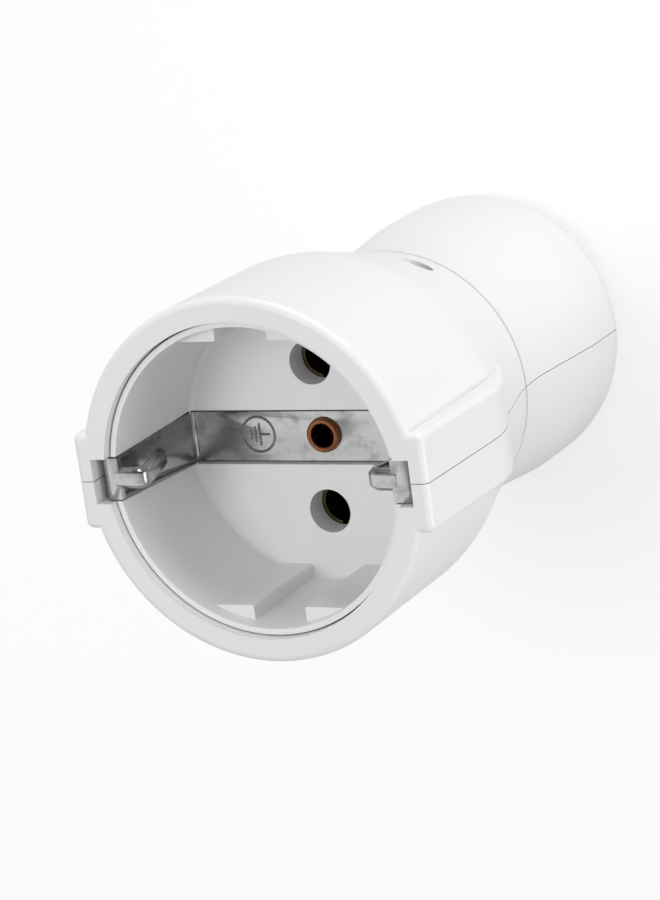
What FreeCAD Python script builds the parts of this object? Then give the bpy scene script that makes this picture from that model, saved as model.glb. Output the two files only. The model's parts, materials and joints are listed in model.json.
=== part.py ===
import FreeCAD, Part

import math
import os

import Sketcher

# Inline socket connector for a round two-pin earthed plug
#
# A connector this round would roll on its side, so it stands on its cable end with the mouth up.
# Every piece is drawn lying, with the connector's axis along Y, the front rim at Y = 0 and the cable
# leaving along +Y, and is then stood up: the axis becomes Z, the cable end touches Z = 0, and the
# cover with the screw heads looks along +Y. Angles are in degrees, all other sizes in millimetres.

SIZES = [
    # Lengths along the axis, one after the other from the front rim to the cable end
    ("barrel_length", 22.7, "straight front barrel"),
    ("shoulder_length", 20.3, "barrel to waist"),
    ("hollow_length", 18.5, "waist to the straight part of the flare"),
    ("flare_length", 12.5, "straight part of the flare to the cable end"),
    # Outer form of the two half shells
    ("rim_wall", 3.0, "width of the front rim"),
    ("shoulder_round", 14.0, "rounding of the shoulder"),
    ("waist_step", 5.0, "barrel to the corner of the waist before rounding"),
    ("waist_round", 35.0, "hollow of the waist"),
    ("flare_step", 3.3, "barrel to flare"),
    ("flare_round", 20.0, "soft turn of the flare"),
    ("end_round", 5.0, "rounding at the cable end"),
    ("rim_round", 0.9, "rounding of the front rim"),
    ("crease_place", 1.7, "ring groove in front of the waist"),
    ("crease_width", 0.6, "width of the ring groove"),
    ("crease_rise", 0.2, "bottom of the ring groove above the corner of the waist"),
    # Side panels that house the earth clips
    ("panel_height", 12.0, "height of a side panel"),
    ("panel_rise", 0.9, "panel above the barrel at the rim"),
    ("panel_slope", 0.8, "how far a panel widens towards the shoulder"),
    ("panel_flat", 22.0, "length of the flat part of a panel"),
    ("panel_run_out", 11.0, "length over which a panel sinks into the shoulder"),
    ("panel_drop", 5.3, "how far it sinks over that length"),
    ("panel_round", 18.0, "rounding at the end of the flat part"),
    ("panel_edge", 0.8, "rounding of the long edges"),
    # Walls and inside of the shells
    ("wall", 2.2, "wall of the shells"),
    ("end_wall", 4.0, "wall at the cable end"),
    ("parting_gap", 0.12, "gap between the half shells"),
    ("lip_depth", 3.0, "depth of the lip behind the rim"),
    ("rib_depth", 2.5, "height of the rib behind the insert"),
    ("rib_thickness", 1.6, "thickness of that rib"),
    ("clip_wall", 1.2, "barrel to the groove for an earth clip"),
    ("entry_radius", 4.5, "cable entry bore"),
    ("entry_mouth", 5.6, "outer edge of the cable entry"),
    ("entry_funnel", 1.0, "depth of the entry's funnel"),
    # Insert cup
    ("insert_recess", 1.2, "edge of the cup behind the rim plane"),
    ("well_depth", 17.8, "cup edge to the well floor"),
    ("well_mouth", 18.6, "inner radius of the cup at its edge"),
    ("well_draft", 0.3, "how far the cup narrows to its floor"),
    ("cup_edge", 0.7, "width of the cup's edge"),
    ("floor_round", 0.8, "rounding between floor and wall"),
    ("floor_thickness", 3.4, "thickness of the floor"),
    ("seat_clearance", 0.2, "play of the cup inside the shells"),
    ("pin_pitch", 19.0, "distance between the pin holes"),
    ("pin_hole_radius", 2.8, "pin hole"),
    ("key_rise", 2.2, "height of a key above the wall of the well"),
    ("key_inner", 3.5, "half width of the groove between two keys"),
    ("key_outer", 8.9, "half width over two keys"),
    ("key_root", 1.2, "how far the outer edge of a key reaches into the wall"),
    ("key_recess", 3.2, "front face of a key behind the rim plane"),
    ("key_edge", 0.3, "rounding of the keys"),
    ("tower_half_width", 5.6, "half width of the contact tower"),
    ("tower_round", 5.0, "rounding of the tower"),
    ("tower_length", 8.6, "length of the tower behind the floor"),
    ("chamber_radius", 4.3, "chamber of a contact sleeve"),
    ("earth_chamber_width", 8.4, "chamber of the earth terminal"),
    ("earth_chamber_height", 8.8, "height of that chamber"),
    ("driver_hole", 2.9, "side hole that reaches the earth screw"),
    ("retainer_thickness", 2.0, "plate that closes the tower"),
    ("retainer_gap", 0.1, "tower to plate"),
    ("wire_hole", 2.2, "hole for the earth wire in the plate"),
    # Earth strip and its clips
    ("strip_width", 6.6, "width of the earth strip"),
    ("strip_thickness", 0.8, "thickness of the earth strip"),
    ("strip_recess", 1.0, "face of the strip below the well floor"),
    ("strip_play", 0.2, "play of the strip in its groove"),
    ("arm_width", 5.2, "width of an arm at the rim"),
    ("arm_inset", 0.1, "inner face of an arm behind the wall of the well at the floor"),
    ("arm_play", 0.3, "end of an arm to the bottom of its groove"),
    ("arm_end", 1.2, "end of an arm behind the rim plane"),
    ("bend_inner", 0.6, "inner radius of the arm's bend"),
    ("flange_length", 2.7, "end of an arm that is turned in towards the axis"),
    ("flange_bend", 0.5, "inner radius of that bend"),
    ("tongue_root", 0.6, "overlap of the tongue and the turned end"),
    ("tongue_width", 2.6, "width of a spring tongue"),
    ("tongue_flat", 1.5, "width of the crest of its arched section"),
    ("tongue_arch", 0.55, "height of that arch"),
    ("tongue_round", 0.45, "rounding of that arch"),
    ("tongue_thickness", 0.5, "thickness of a tongue"),
    ("crest_rise", 0.1, "crest in front of the turned end"),
    ("nose_rise", 3.7, "nose of a tongue above the wall of the well"),
    ("nose_round", 1.2, "bend of the nose"),
    ("tongue_gap", 1.2, "free end of a tongue above the wall of the well"),
    ("tongue_end", 10.2, "free end of a tongue behind the rim plane"),
    # Eyelet and earth terminal
    ("eyelet_radius", 1.8, "tube of the eyelet"),
    ("eyelet_bore", 1.5, "hole through the eyelet"),
    ("eyelet_flange", 2.15, "rolled flange of the eyelet"),
    ("eyelet_flange_height", 0.5, "height of a flange"),
    ("eyelet_lip", 0.2, "rounding of a flange"),
    ("eyelet_play", 0.05, "play around the eyelet"),
    ("earth_block_width", 7.6, "earth terminal block"),
    ("earth_block_height", 8.0, "height of that block"),
    ("earth_block_length", 7.8, "length of that block"),
    ("earth_block_wall", 0.9, "front wall of that block"),
    ("earth_block_bore", 2.6, "wire bore of that block"),
    # Contact sleeves
    ("sleeve_bore", 2.45, "bore for the plug pin"),
    ("sleeve_radius", 3.3, "outside of the sleeve"),
    ("sleeve_gap", 0.2, "floor to sleeve"),
    ("collar_radius", 4.2, "collar held by the plate"),
    ("collar_length", 1.2, "length of the collar"),
    ("bore_length", 17.0, "depth of the pin bore"),
    ("wire_end_radius", 3.6, "wire end of the sleeve"),
    ("wire_end_length", 7.5, "length of the wire end"),
    ("wire_bore", 1.6, "wire bore of the sleeve"),
    ("slot_width", 0.8, "slots that let the sleeve spring"),
    ("slot_length", 14.0, "length of those slots"),
    ("spring_thickness", 0.5, "ring spring around a sleeve"),
    ("spring_length", 4.0, "width of the ring spring"),
    ("spring_place", 2.0, "ring spring behind the sleeve's front"),
    ("spring_angle", 300.0, "closed part of the ring spring"),
    ("spring_play", 0.05, "ring spring to sleeve"),
    # Screws and nuts
    ("thread_play", 0.04, "play between screws and their holes"),
    ("terminal_screw_radius", 1.5, "terminal screws"),
    ("terminal_head_radius", 2.6, "heads of the terminal screws"),
    ("terminal_head_height", 1.5, "height of those heads"),
    ("terminal_screw_reach", 0.7, "tip of a terminal screw from its sleeve's axis"),
    ("screw_slot_width", 0.8, "driver slots"),
    ("screw_slot_depth", 0.7, "depth of the driver slots"),
    ("shell_screw_offset", 7.7, "shell screws from the axis"),
    ("shell_screw_place", 2.9, "shell screws behind the plate that closes the tower"),
    ("shell_screw_radius", 1.3, "shell screws"),
    ("shell_head_radius", 1.75, "heads of the shell screws"),
    ("shell_head_height", 1.6, "height of those heads"),
    ("shell_head_seat", 12.2, "seat of a head above the axis"),
    ("head_play", 0.2, "play around a head or nut"),
    ("boss_radius", 3.4, "screw bosses in the shells"),
    ("nut_radius", 2.75, "corner radius of a hexagon nut"),
    ("nut_height", 2.2, "height of a nut"),
    ("nut_seat", 11.9, "seat of a nut below the axis"),
    # Cable clamp
    ("clamp_place", 0.5, "cable clamp in front of the straight part of the flare"),
    ("bar_width", 24.0, "clamp bar"),
    ("bar_length", 5.0, "length of the clamp bar along the cable"),
    ("bar_thickness", 2.5, "thickness of the clamp bar"),
    ("bar_gap", 0.3, "saddle to bar"),
    ("arch_margin", 5.6, "clamp screws from the bar's arch"),
    ("bar_rise", 2.4, "rise of the bar's arch"),
    ("bar_flank", 1.2, "width of the arch's flanks"),
    ("bar_crown", 1.0, "width of the flanks on the outside"),
    ("bar_round", 0.6, "rounding of the bar"),
    ("saddle_margin", 0.5, "saddle beyond the end of the bar"),
    ("saddle_length", 8.0, "length of the saddle"),
    ("saddle_top", 1.2, "top of the saddle below the axis"),
    ("cable_radius", 4.3, "trough for the cable"),
    ("clamp_screw_margin", 3.0, "clamp screws from the end of the bar"),
    ("clamp_screw_radius", 1.45, "clamp screws"),
    ("clamp_head_radius", 2.6, "heads of the clamp screws"),
    ("clamp_head_height", 1.7, "height of those heads"),
    ("clamp_screw_depth", 8.0, "thread of a clamp screw in the saddle"),
]

OUTSIDE = 30.0  # reach of cutting tools beyond the body
OVERLAP = 0.2  # how far an added form is rooted in what carries it
OVERSHOOT = 1.0  # how far a cut runs past a face
TOUCH = 1e-3  # how near two places count as one
NO_CHANGE = 1e-6  # a feature has to change the volume by more than this
NUT_SIDES = 6


class Size:
    """A length together with the spreadsheet expression that gives it."""

    def __init__(self, value, text):
        self.value = value
        self.text = text

    def combine(self, other, sign, result):
        text = other.text if isinstance(other, Size) else repr(other)
        return Size(result, "(" + self.text + " " + sign + " " + text + ")")

    def __add__(self, other):
        return self.combine(other, "+", self.value + number(other))

    def __sub__(self, other):
        return self.combine(other, "-", self.value - number(other))

    def __mul__(self, other):
        return self.combine(other, "*", self.value * number(other))

    def __truediv__(self, other):
        return self.combine(other, "/", self.value / number(other))

    def __neg__(self):
        return self * -1


def number(size):
    return size.value if isinstance(size, Size) else float(size)


def words(size):
    return size.text if isinstance(size, Size) else repr(float(size))


doc = FreeCAD.newDocument("inline_socket")
sheet = doc.addObject("Spreadsheet::Sheet", "Sizes")
size = {}
for row, (alias, value, meaning) in enumerate(SIZES, start=1):
    sheet.set("A%d" % row, alias)
    sheet.set("B%d" % row, str(value))
    sheet.setAlias("B%d" % row, alias)
    sheet.set("C%d" % row, meaning)
    size[alias] = Size(value, "Sizes." + alias)
doc.recompute()


def bind(thing, prop, value):
    """Set a property and tie it to its expression."""
    if isinstance(value, Size):
        thing.setExpression(prop, value.text)
        return
    setattr(thing, prop, value)


def origin_plane(body, role):
    for feature in body.Origin.OriginFeatures:
        if feature.Role == role:
            return feature
    raise ValueError(role)


def new_body(name):
    body = doc.addObject("PartDesign::Body", name)
    body.Label = name
    return body


def new_sketch(body, name, plane, offset=0.0):
    """A sketch on one of the body's own planes, moved along the plane's normal."""
    sketch = body.newObject("Sketcher::SketchObject", name)
    sketch.AttachmentSupport = [(origin_plane(body, plane), "")]
    sketch.MapMode = "FlatFace"
    sketch.AttachmentOffset = FreeCAD.Placement(FreeCAD.Vector(0, 0, number(offset)), FreeCAD.Rotation())
    if isinstance(offset, Size):
        sketch.setExpression("AttachmentOffset.Base.z", offset.text)
    return sketch


def pin_point(sketch, geometry, vertex, x, y):
    """Tie a sketch point to its two coordinates."""
    for kind, axis, place in (("DistanceX", -2, x), ("DistanceY", -1, y)):
        if number(place) == 0.0:
            sketch.addConstraint(Sketcher.Constraint("PointOnObject", geometry, vertex, axis))
            continue
        index = sketch.addConstraint(Sketcher.Constraint(kind, -1, 1, geometry, vertex, number(place)))
        sketch.setExpression("Constraints[%d]" % index, words(place))


def corner_arc(before, corner, after, radius):
    """Tangent points and arc that round one corner of an outline."""
    to_before = (before - corner).normalize()
    to_after = (after - corner).normalize()
    half = to_before.getAngle(to_after) / 2.0
    reach = radius / math.tan(half)
    start = corner + to_before * reach
    end = corner + to_after * reach
    centre = corner + (to_before + to_after).normalize() * (radius / math.sin(half))
    turns_left = (corner - before).cross(after - corner).z > 0
    first, last = (start, end) if turns_left else (end, start)
    circle = Part.Circle(centre, FreeCAD.Vector(0, 0, 1), radius)
    arc = Part.ArcOfCircle(circle, circle.parameter(first), circle.parameter(last))
    return start, end, arc, turns_left


def draw(sketch, corners, closed=True):
    """Draw an outline from corners (x, y) or (x, y, radius), each tied to its sizes."""
    points = [FreeCAD.Vector(number(corner[0]), number(corner[1]), 0) for corner in corners]
    count = len(points)
    starts = list(points)
    ends = list(points)
    arcs = {}
    for i, corner in enumerate(corners):
        if len(corner) < 3:
            continue
        arc = corner_arc(points[i - 1], points[i], points[(i + 1) % count], number(corner[2]))
        starts[i], ends[i] = arc[0], arc[1]
        arcs[i] = arc
    lines = []
    for i in range(count if closed else count - 1):
        lines.append(sketch.addGeometry(Part.LineSegment(ends[i], starts[(i + 1) % count]), False))
    for i, corner in enumerate(corners):
        into = lines[i - 1] if closed or i > 0 else None
        out = lines[i] if i < len(lines) else None
        if i in arcs:
            arc = sketch.addGeometry(arcs[i][2], False)
            arc_start, arc_end = (1, 2) if arcs[i][3] else (2, 1)
            sketch.addConstraint(Sketcher.Constraint("Tangent", into, 2, arc, arc_start))
            sketch.addConstraint(Sketcher.Constraint("Tangent", arc, arc_end, out, 1))
            radius = sketch.addConstraint(Sketcher.Constraint("Radius", arc, number(corner[2])))
            sketch.setExpression("Constraints[%d]" % radius, words(corner[2]))
            tip = sketch.addGeometry(Part.Point(points[i]), True)
            sketch.addConstraint(Sketcher.Constraint("PointOnObject", tip, 1, into))
            sketch.addConstraint(Sketcher.Constraint("PointOnObject", tip, 1, out))
            pin_point(sketch, tip, 1, corner[0], corner[1])
            continue
        if into is not None and out is not None:
            sketch.addConstraint(Sketcher.Constraint("Coincident", into, 2, out, 1))
        if out is not None:
            pin_point(sketch, out, 1, corner[0], corner[1])
        else:
            pin_point(sketch, into, 2, corner[0], corner[1])
    return sketch


def draw_circle(sketch, x, y, radius):
    centre = FreeCAD.Vector(number(x), number(y), 0)
    circle = sketch.addGeometry(Part.Circle(centre, FreeCAD.Vector(0, 0, 1), number(radius)), False)
    pin_point(sketch, circle, 3, x, y)
    index = sketch.addConstraint(Sketcher.Constraint("Radius", circle, number(radius)))
    sketch.setExpression("Constraints[%d]" % index, words(radius))
    return sketch


def rectangle(x, y, width, height):
    """Corners of a rectangle about (x, y)."""
    left, right = x - width / 2, x + width / 2
    low, high = y - height / 2, y + height / 2
    return [(left, low), (right, low), (right, high), (left, high)]


def check_change(body, name, before, grows):
    """A pad has to add volume and a pocket has to take some away."""
    doc.recompute()
    change = body.Shape.Volume - before
    if (change > 0) != grows or abs(change) < NO_CHANGE:
        raise ValueError(name + " changed the volume by %.4f" % change)


def feature(body, kind, name, sketch, grows, **settings):
    """A sketch-based feature whose effect on the volume is checked."""
    doc.recompute()
    before = body.Shape.Volume if body.Tip and body.Shape and not body.Shape.isNull() else 0.0
    made = body.newObject("PartDesign::" + kind, name)
    made.Profile = (sketch, [""])
    for prop, value in settings.items():
        bind(made, prop, value)
    sketch.Visibility = False
    check_change(body, name, before, grows)
    return made


def turned(body, name, corners, angle=360.0):
    """A revolution about the connector's axis of an outline in the XY plane."""
    sketch = draw(new_sketch(body, name + "_sketch", "XY_Plane"), corners)
    axis = (sketch, ["V_Axis"])
    return feature(body, "Revolution", name, sketch, True, ReferenceAxis=axis, Angle=angle, Midplane=True)


def along_axis(body, name, station, length, corners=None, circle=None, cut=False):
    """Pad or pocket a cross section from a station towards the cable end."""
    sketch = new_sketch(body, name + "_sketch", "XZ_Plane", -station)
    if corners:
        draw(sketch, corners)
    else:
        draw_circle(sketch, *circle)
    kind = "Pocket" if cut else "Pad"
    return feature(body, kind, name, sketch, not cut, Length=length, Reversed=not cut)


def across(body, name, plane, length, corners=None, circle=None, cut=False, offset=0.0, midplane=True,
           backwards=False):
    """Pad or pocket an outline of the XY or YZ plane across the connector."""
    sketch = new_sketch(body, name + "_sketch", plane, offset)
    if corners:
        draw(sketch, corners)
    else:
        draw_circle(sketch, *circle)
    kind = "Pocket" if cut else "Pad"
    return feature(body, kind, name, sketch, not cut, Length=length, Midplane=midplane, Reversed=backwards)


def rounded(body, name, radius, chosen):
    """Fillet the edges of the body's present shape for which chosen(edge) holds."""
    doc.recompute()
    base = body.Tip
    names = ["Edge%d" % (i + 1) for i, edge in enumerate(base.Shape.Edges) if chosen(edge)]
    if not names:
        raise ValueError(name + " found no edge")
    fillet = body.newObject("PartDesign::Fillet", name)
    fillet.Base = (base, names)
    bind(fillet, "Radius", radius)
    doc.recompute()
    if "Invalid" in fillet.State:
        raise ValueError(name + " failed")
    return fillet


def cylinder(name, x, y, z, radius, height, angle_axis=None):
    """A cylinder that stands on (x, y, z) along +Z, or along +Y where angle_axis says so."""
    made = doc.addObject("Part::Cylinder", name)
    bind(made, "Radius", radius)
    bind(made, "Height", height)
    turn = FreeCAD.Rotation(FreeCAD.Vector(1, 0, 0), -90) if angle_axis == "Y" else FreeCAD.Rotation()
    place(made, x, y, z, turn)
    return made


def box(name, x, y, z, length, width, height):
    """A box with its lowest corner at (x, y, z)."""
    made = doc.addObject("Part::Box", name)
    bind(made, "Length", length)
    bind(made, "Width", width)
    bind(made, "Height", height)
    place(made, x, y, z, FreeCAD.Rotation())
    return made


def place(thing, x, y, z, turn):
    thing.Placement = FreeCAD.Placement(FreeCAD.Vector(number(x), number(y), number(z)), turn)
    for prop, value in (("x", x), ("y", y), ("z", z)):
        if isinstance(value, Size):
            thing.setExpression("Placement.Base." + prop, value.text)


def boolean(kind, name, first, second):
    made = doc.addObject("Part::" + kind, name)
    made.Base = first
    made.Tool = second
    return made


def union(name, things):
    made = doc.addObject("Part::MultiFuse", name)
    made.Shapes = things
    return made


# Radii and places along the axis that follow from the sizes
rim_bore = size["well_mouth"] + size["cup_edge"] + size["seat_clearance"]
barrel_radius = rim_bore + size["rim_wall"]
waist_radius = barrel_radius - size["waist_step"]
flare_radius = barrel_radius - size["flare_step"]
bore_radius = barrel_radius - size["wall"]
rib_inner = bore_radius - size["rib_depth"]
clip_groove = barrel_radius - size["clip_wall"]
waist_station = size["barrel_length"] + size["shoulder_length"]
flare_station = waist_station + size["hollow_length"]
total_length = flare_station + size["flare_length"]
crease_station = waist_station - size["crease_place"]
clamp_station = flare_station - size["clamp_place"]
floor_station = size["insert_recess"] + size["well_depth"]
floor_back = floor_station + size["floor_thickness"]
strip_front = floor_station + size["strip_recess"]
strip_back = strip_front + size["strip_thickness"]
tower_end = floor_back + size["tower_length"]
retainer_front = tower_end + size["retainer_gap"]
screw_station = retainer_front + size["retainer_thickness"] + size["shell_screw_place"]
rib_front = floor_back + size["seat_clearance"]
cup_radius = bore_radius - size["seat_clearance"]
half_gap = size["parting_gap"] / 2
half_pitch = size["pin_pitch"] / 2
centre = Size(0.0, "0")
sides = (("right", 1), ("left", -1))
levels = (("cover", 1), ("base", -1))
parts = []


def finish(thing, x=0.0, y=0.0, z=0.0, turn=None):
    """Stand a sub-part on the cable end, from its place (x, y, z) in the lying connector."""
    upright = FreeCAD.Rotation(FreeCAD.Vector(1, 0, 0), -90)
    place(thing, x, z, total_length - y, upright.multiply(turn or FreeCAD.Rotation()))
    parts.append(thing)
    return thing


# Outer form shared by the two half shells

barrel = new_body("barrel_form")
turned(barrel, "barrel_profile", [
    (0, 0),
    (barrel_radius, 0, size["rim_round"]),
    (barrel_radius, size["barrel_length"], size["shoulder_round"]),
    (waist_radius, waist_station, size["waist_round"]),
    (flare_radius, flare_station, size["flare_round"]),
    (flare_radius, total_length, size["end_round"]),
    (0, total_length),
])


def is_long_panel_edge(edge):
    """True for the outline edges of a panel's two flat sides, apart from the buried root."""
    box_of_edge = edge.BoundBox
    return box_of_edge.ZLength < TOUCH and abs(edge.CenterOfMass.x) > panel_root.value + TOUCH


# Side panels: flat along the barrel, then sinking into the shoulder
panels = []
panel_root = waist_radius - size["wall"]
panel_end = size["panel_flat"] + size["panel_run_out"]
panel_front = barrel_radius + size["panel_rise"]
panel_back = panel_front + size["panel_slope"]
for side_name, side in sides:
    panel = new_body(side_name + "_panel")
    across(panel, side_name + "_panel_form", "XY_Plane", size["panel_height"], [
        (panel_root * side, 0),
        (panel_front * side, 0, size["rim_round"]),
        (panel_back * side, size["panel_flat"], size["panel_round"]),
        ((panel_back - size["panel_drop"]) * side, panel_end),
        (panel_root * side, panel_end),
    ])
    rounded(panel, side_name + "_panel_edges", size["panel_edge"], is_long_panel_edge)
    panels.append(panel)
form = union("shell_form", [barrel] + panels)

# Cavity of the shells, with the lip that holds the cup in front and the rib behind it

rib_back = rib_front + size["rib_thickness"]
cone_slope = size["waist_step"] / size["shoulder_length"]
cavity_end = total_length - size["end_wall"]
flare_bore = flare_radius - size["wall"]
cavity = new_body("shell_cavity")
turned(cavity, "cavity_profile", [
    (0, -OVERSHOOT),
    (rim_bore, -OVERSHOOT),
    (rim_bore, size["lip_depth"]),
    (bore_radius, size["lip_depth"]),
    (bore_radius, rib_front),
    (rib_inner, rib_front),
    (rib_inner, rib_back),
    (bore_radius - (rib_back - size["barrel_length"]) * cone_slope, rib_back),
    (waist_radius - size["wall"], waist_station, size["waist_round"]),
    (flare_bore, flare_station, size["flare_round"]),
    (flare_bore, cavity_end, size["end_round"] - size["wall"]),
    (0, cavity_end),
])
entry = new_body("entry_cutter")
turned(entry, "entry_profile", [
    (0, cavity_end - OVERSHOOT),
    (size["entry_radius"], cavity_end - OVERSHOOT),
    (size["entry_radius"], total_length - size["entry_funnel"]),
    (size["entry_mouth"], total_length),
    (size["entry_mouth"], total_length + OVERSHOOT),
    (0, total_length + OVERSHOOT),
])
crease_low = crease_station - size["crease_width"] / 2
crease_high = crease_station + size["crease_width"] / 2
crease_radius = waist_radius + size["crease_rise"]
crease = new_body("crease_cutter")
turned(crease, "crease_profile", [
    (crease_radius, crease_low),
    (barrel_radius, crease_low),
    (barrel_radius, crease_high),
    (crease_radius, crease_high),
])

# Grooves for the arms of the earth strip: as wide as the strip at the floor, narrower at the rim

arm_half = size["arm_width"] / 2
strip_half = size["strip_width"] / 2
groove_half = arm_half + size["strip_play"]
slot_half = strip_half + size["strip_play"]
groove_reach = clip_groove - rib_inner
groove_outline = [
    (-OVERSHOOT, -groove_half),
    (size["arm_end"], -groove_half),
    (strip_front, -slot_half),
    (strip_back, -slot_half),
    (strip_back, slot_half),
    (strip_front, slot_half),
    (size["arm_end"], groove_half),
    (-OVERSHOOT, groove_half),
]
groove_starts = (("right", rib_inner), ("left", -clip_groove))
grooves = []
for side_name, low in groove_starts:
    groove = new_body(side_name + "_shell_groove")
    across(groove, side_name + "_groove_form", "YZ_Plane", groove_reach, groove_outline, offset=low,
           midplane=False)
    grooves.append(groove)
hollow = union("shell_hollow", [cavity, entry, crease] + grooves)

# Two half shells with their screw bosses, and the saddle of the cable clamp in the base

head_radius = size["shell_head_radius"] + size["head_play"]
shank_radius = size["shell_screw_radius"] + size["head_play"]


def half_shell(name, low, posts, cutters):
    """A half of the outer form that starts at the level low, with posts and cut-outs."""
    length = total_length + 2 * OVERSHOOT
    bound = box(name + "_bound", -OUTSIDE, -OVERSHOOT, low, 2 * OUTSIDE, length, OUTSIDE)
    half = boolean("Common", name + "_half", form, bound)
    wall = boolean("Cut", name + "_wall", half, hollow)
    rooted = boolean("Common", name + "_posts", union(name + "_post_forms", posts), half)
    whole = boolean("Fuse", name + "_whole", wall, rooted)
    shell = boolean("Cut", name, whole, union(name + "_cutters", cutters))
    shell.Label = name
    return finish(shell)


def screw_cylinder(name, side, low, radius):
    """A long cylinder on the line of a shell screw, upwards from the level low."""
    return cylinder(name, size["shell_screw_offset"] * side, screw_station, low, radius, OUTSIDE)


cover_posts = []
cover_cutters = []
base_posts = []
base_cutters = []
clamp_screw_offset = size["bar_width"] / 2 - size["clamp_screw_margin"]
saddle_width = size["bar_width"] + size["saddle_margin"] * 2
saddle_front = clamp_station - size["saddle_length"] / 2
for side_name, side in sides:
    cover_posts.append(screw_cylinder(side_name + "_cover_boss", side, 0.0, size["boss_radius"]))
    cover_cutters.append(screw_cylinder(side_name + "_cover_hole", side, 0.0, shank_radius))
    cover_cutters.append(screw_cylinder(side_name + "_head_recess", side, size["shell_head_seat"], head_radius))
    base_posts.append(screw_cylinder(side_name + "_base_boss", side, -OUTSIDE, size["boss_radius"]))
    base_cutters.append(screw_cylinder(side_name + "_base_hole", side, -OUTSIDE, shank_radius))
    pocket = doc.addObject("Part::Prism", side_name + "_nut_pocket")
    pocket.Polygon = NUT_SIDES
    bind(pocket, "Circumradius", size["nut_radius"] + size["head_play"])
    bind(pocket, "Height", OUTSIDE)
    pocket_x = size["shell_screw_offset"] * side
    place(pocket, pocket_x, screw_station, -size["nut_seat"] - OUTSIDE, FreeCAD.Rotation())
    base_cutters.append(pocket)
    base_cutters.append(cylinder(
        side_name + "_clamp_hole",
        clamp_screw_offset * side,
        clamp_station,
        -size["saddle_top"] - size["clamp_screw_depth"] - size["head_play"],
        size["clamp_screw_radius"] + size["thread_play"],
        size["clamp_screw_depth"] + OVERSHOOT,
    ))
base_posts.append(box(
    "saddle",
    -saddle_width / 2,
    saddle_front,
    -size["saddle_top"] - OUTSIDE,
    saddle_width,
    size["saddle_length"],
    OUTSIDE,
))
trough_length = size["saddle_length"] + 2 * OVERLAP
base_cutters.append(cylinder("cable_trough", 0.0, saddle_front - OVERLAP, 0.0, size["cable_radius"],
                             trough_length, "Y"))
cover_shell = half_shell("cover_shell", half_gap, cover_posts, cover_cutters)
base_shell = half_shell("base_shell", -half_gap - OUTSIDE, base_posts, base_cutters)

# Insert: a cup with four keys in its wall and a tower for the contacts behind its floor

insert = new_body("socket_insert")
collar = rim_bore - size["seat_clearance"]
well_bottom = size["well_mouth"] - size["well_draft"]
key_height = size["well_mouth"] - size["key_rise"]
collar_end = size["lip_depth"] + size["seat_clearance"]
turned(insert, "cup", [
    (0, floor_station),
    (well_bottom, floor_station, size["floor_round"]),
    (size["well_mouth"], size["insert_recess"]),
    (collar, size["insert_recess"]),
    (collar, collar_end),
    (cup_radius, collar_end),
    (cup_radius, floor_back),
    (0, floor_back),
])
key_length = floor_station - size["key_recess"] + OVERLAP
for side_name, side in sides:
    for level_name, level in levels:
        along_axis(insert, level_name + "_" + side_name + "_key", size["key_recess"], key_length, [
            (size["key_inner"] * side, key_height * level),
            (size["key_outer"] * side, key_height * level),
            (size["key_outer"] * side, (key_height + size["key_root"]) * level),
            (size["key_inner"] * side, collar * level),
        ])


def is_key_edge(edge):
    """True for the long edges between a key's flat and the groove beside it."""
    middle = edge.CenterOfMass
    at_groove = abs(abs(middle.x) - size["key_inner"].value) < TOUCH
    at_flat = abs(abs(middle.z) - key_height.value) < TOUCH
    return at_groove and at_flat and edge.BoundBox.YLength > OVERLAP


rounded(insert, "key_edges", size["key_edge"], is_key_edge)


tower_width = size["tower_half_width"] * 2
tower_corners = rectangle(centre, centre, tower_width, size["pin_pitch"] + tower_width)
tower_outline = [(x, y, size["tower_round"]) for x, y in tower_corners]
along_axis(insert, "tower", floor_back - OVERLAP, size["tower_length"] + OVERLAP, tower_outline)
for level_name, level in levels:
    height = half_pitch * level
    along_axis(insert, level_name + "_pin_hole", floor_station - OVERSHOOT,
               size["floor_thickness"] + 2 * OVERSHOOT, circle=(0, height, size["pin_hole_radius"]), cut=True)
    along_axis(insert, level_name + "_chamber", floor_back, size["tower_length"] + OVERSHOOT,
               circle=(0, height, size["chamber_radius"]), cut=True)
earth_chamber = rectangle(centre, centre, size["earth_chamber_width"], size["earth_chamber_height"])
along_axis(insert, "earth_chamber", floor_back, size["tower_length"] + OVERSHOOT, earth_chamber, cut=True)
along_axis(insert, "eyelet_hole", floor_station - OVERSHOOT, size["floor_thickness"] + 2 * OVERSHOOT,
           circle=(0, 0, size["eyelet_radius"] + size["eyelet_play"]), cut=True)
strip_slot = rectangle(centre, centre, barrel_radius * 2, slot_half * 2)
along_axis(insert, "strip_slot", floor_station - OVERLAP, strip_back - floor_station + OVERLAP, strip_slot,
           cut=True)
for side_name, low in groove_starts:
    across(insert, side_name + "_arm_groove", "YZ_Plane", groove_reach, groove_outline, cut=True, offset=low,
           midplane=False, backwards=True)
earth_screw_station = floor_back + size["earth_block_length"] / 2
across(insert, "driver_hole", "YZ_Plane", size["tower_half_width"],
       circle=(earth_screw_station, 0, size["driver_hole"]), cut=True,
       offset=size["earth_chamber_width"] / 2 - OVERLAP, midplane=False, backwards=True)
finish(insert)

# Plate that closes the tower and holds the sleeves by their collars

retainer = new_body("contact_retainer")
along_axis(retainer, "plate", retainer_front, size["retainer_thickness"], tower_outline)
for level_name, level in levels:
    along_axis(retainer, level_name + "_sleeve_hole", retainer_front - OVERSHOOT,
               size["retainer_thickness"] + 2 * OVERSHOOT,
               circle=(0, half_pitch * level, size["wire_end_radius"] + size["head_play"]), cut=True)
along_axis(retainer, "wire_hole_cut", retainer_front - OVERSHOOT, size["retainer_thickness"] + 2 * OVERSHOOT,
           circle=(0, 0, size["wire_hole"]), cut=True)
finish(retainer)

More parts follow.
